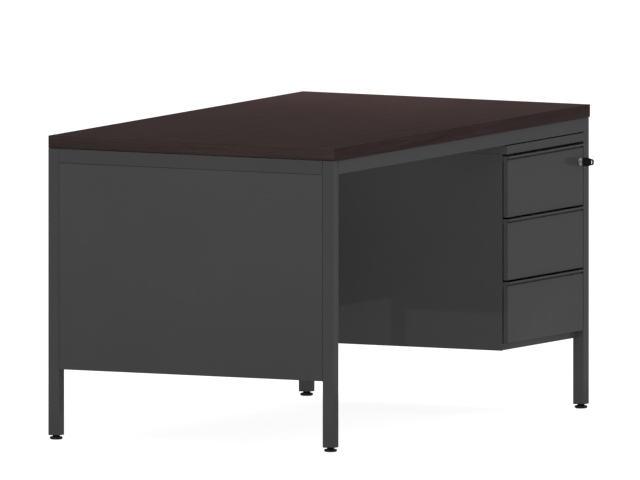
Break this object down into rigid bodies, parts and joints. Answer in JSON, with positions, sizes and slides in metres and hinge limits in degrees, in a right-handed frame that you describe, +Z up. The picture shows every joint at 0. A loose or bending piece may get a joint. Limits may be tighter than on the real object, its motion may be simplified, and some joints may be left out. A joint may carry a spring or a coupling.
{
  "type": "teacher desk",
  "caption": "Teacher desk with a square-tube steel frame, dark wood worktop, folded end and back panels, and a lockable pedestal of equal drawers with full-width lip pulls.",
  "frame": {"origin": "on the floor, under the middle of the desk's bounding box with its key in the lock", "axes": "+X along the worktop, towards the pedestal; +Y away from the user, towards the back panel; +Z up"},
  "size_m": [1.403, 0.8425, 0.762],
  "materials": {
    "charcoal_paint": "satin",
    "walnut_laminate": "satin",
    "walnut_edge_band": "satin",
    "zinc_plated_steel": "satin",
    "polished_nickel": "polished",
    "black_plastic": "matte"
  },
  "bodies": {
    "root": {"worktop_board": "walnut_laminate", "worktop_edge_front": "walnut_edge_band", "worktop_edge_back": "walnut_edge_band", "worktop_edge_left": "walnut_edge_band", "worktop_edge_right": "walnut_edge_band", "leg_front_left": "charcoal_paint", "leg_front_right": "charcoal_paint", "leg_back_left": "charcoal_paint", "leg_back_right": "charcoal_paint", "leg_insert_front_left": "black_plastic", "leg_insert_front_right": "black_plastic", "leg_insert_back_left": "black_plastic", "leg_insert_back_right": "black_plastic", "rail_front": "charcoal_paint", "rail_back": "charcoal_paint", "rail_left": "charcoal_paint", "rail_right": "charcoal_paint", "end_panel_left": "charcoal_paint", "end_panel_right": "charcoal_paint", "modesty_panel": "charcoal_paint", "case_side_left": "charcoal_paint", "case_side_right": "charcoal_paint", "case_bottom": "charcoal_paint", "case_top": "charcoal_paint", "case_back": "charcoal_paint", "pedestal_hanger": "charcoal_paint", "case_runner_1_left": "zinc_plated_steel", "case_runner_1_right": "zinc_plated_steel", "case_runner_2_left": "zinc_plated_steel", "case_runner_2_right": "zinc_plated_steel", "case_runner_3_left": "zinc_plated_steel", "case_runner_3_right": "zinc_plated_steel"},
    "drawer_1": {"drawer_1_front": "charcoal_paint", "drawer_1_box": "charcoal_paint", "drawer_runner_1_left": "zinc_plated_steel", "drawer_runner_1_right": "zinc_plated_steel", "lock_cylinder": "polished_nickel", "lock_clip": "zinc_plated_steel"},
    "middle_runners_1": {"middle_runner_1_left": "zinc_plated_steel", "middle_runner_1_right": "zinc_plated_steel"},
    "drawer_2": {"drawer_2_front": "charcoal_paint", "drawer_2_box": "charcoal_paint", "drawer_runner_2_left": "zinc_plated_steel", "drawer_runner_2_right": "zinc_plated_steel"},
    "middle_runners_2": {"middle_runner_2_left": "zinc_plated_steel", "middle_runner_2_right": "zinc_plated_steel"},
    "drawer_3": {"drawer_3_front": "charcoal_paint", "drawer_3_box": "charcoal_paint", "drawer_runner_3_left": "zinc_plated_steel", "drawer_runner_3_right": "zinc_plated_steel"},
    "middle_runners_3": {"middle_runner_3_left": "zinc_plated_steel", "middle_runner_3_right": "zinc_plated_steel"},
    "lock": {"lock_plug": "polished_nickel", "lock_cam": "zinc_plated_steel"},
    "key": {"key_blade": "polished_nickel", "key_head": "black_plastic"},
    "foot_front_left": {"foot_front_left": "black_plastic"},
    "foot_front_right": {"foot_front_right": "black_plastic"},
    "foot_back_left": {"foot_back_left": "black_plastic"},
    "foot_back_right": {"foot_back_right": "black_plastic"}
  },
  "joints": [
    {"name": "drawer_1_slide", "type": "slide", "parent": "root", "child": "drawer_1", "axis": [0, -1, 0], "range_m": [0, 0.45]},
    {"name": "middle_runner_1_slide", "type": "slide", "parent": "root", "child": "middle_runners_1", "axis": [0, -1, 0], "range_m": [0, 0.225]},
    {"name": "drawer_2_slide", "type": "slide", "parent": "root", "child": "drawer_2", "axis": [0, -1, 0], "range_m": [0, 0.45]},
    {"name": "middle_runner_2_slide", "type": "slide", "parent": "root", "child": "middle_runners_2", "axis": [0, -1, 0], "range_m": [0, 0.225]},
    {"name": "drawer_3_slide", "type": "slide", "parent": "root", "child": "drawer_3", "axis": [0, -1, 0], "range_m": [0, 0.45]},
    {"name": "middle_runner_3_slide", "type": "slide", "parent": "root", "child": "middle_runners_3", "axis": [0, -1, 0], "range_m": [0, 0.225]},
    {"name": "lock_turn", "type": "hinge", "parent": "drawer_1", "child": "lock", "pos_m": [0.6455, -0.38025, 0.622], "axis": [0, 1, 0], "range_deg": [0, 90]},
    {"name": "key_pull", "type": "slide", "parent": "lock", "child": "key", "axis": [0, -1, 0], "range_m": [0, 0.024]},
    {"name": "foot_front_left_screw", "type": "slide", "parent": "root", "child": "foot_front_left", "axis": [0, 0, -1], "range_m": [0, 0.015]},
    {"name": "foot_front_right_screw", "type": "slide", "parent": "root", "child": "foot_front_right", "axis": [0, 0, -1], "range_m": [0, 0.015]},
    {"name": "foot_back_left_screw", "type": "slide", "parent": "root", "child": "foot_back_left", "axis": [0, 0, -1], "range_m": [0, 0.015]},
    {"name": "foot_back_right_screw", "type": "slide", "parent": "root", "child": "foot_back_right", "axis": [0, 0, -1], "range_m": [0, 0.015]}
  ],
  "couplings": [
    {"joint": "middle_runner_1_slide", "follows": "drawer_1_slide", "ratio": 0.5},
    {"joint": "middle_runner_2_slide", "follows": "drawer_2_slide", "ratio": 0.5},
    {"joint": "middle_runner_3_slide", "follows": "drawer_3_slide", "ratio": 0.5}
  ]
}
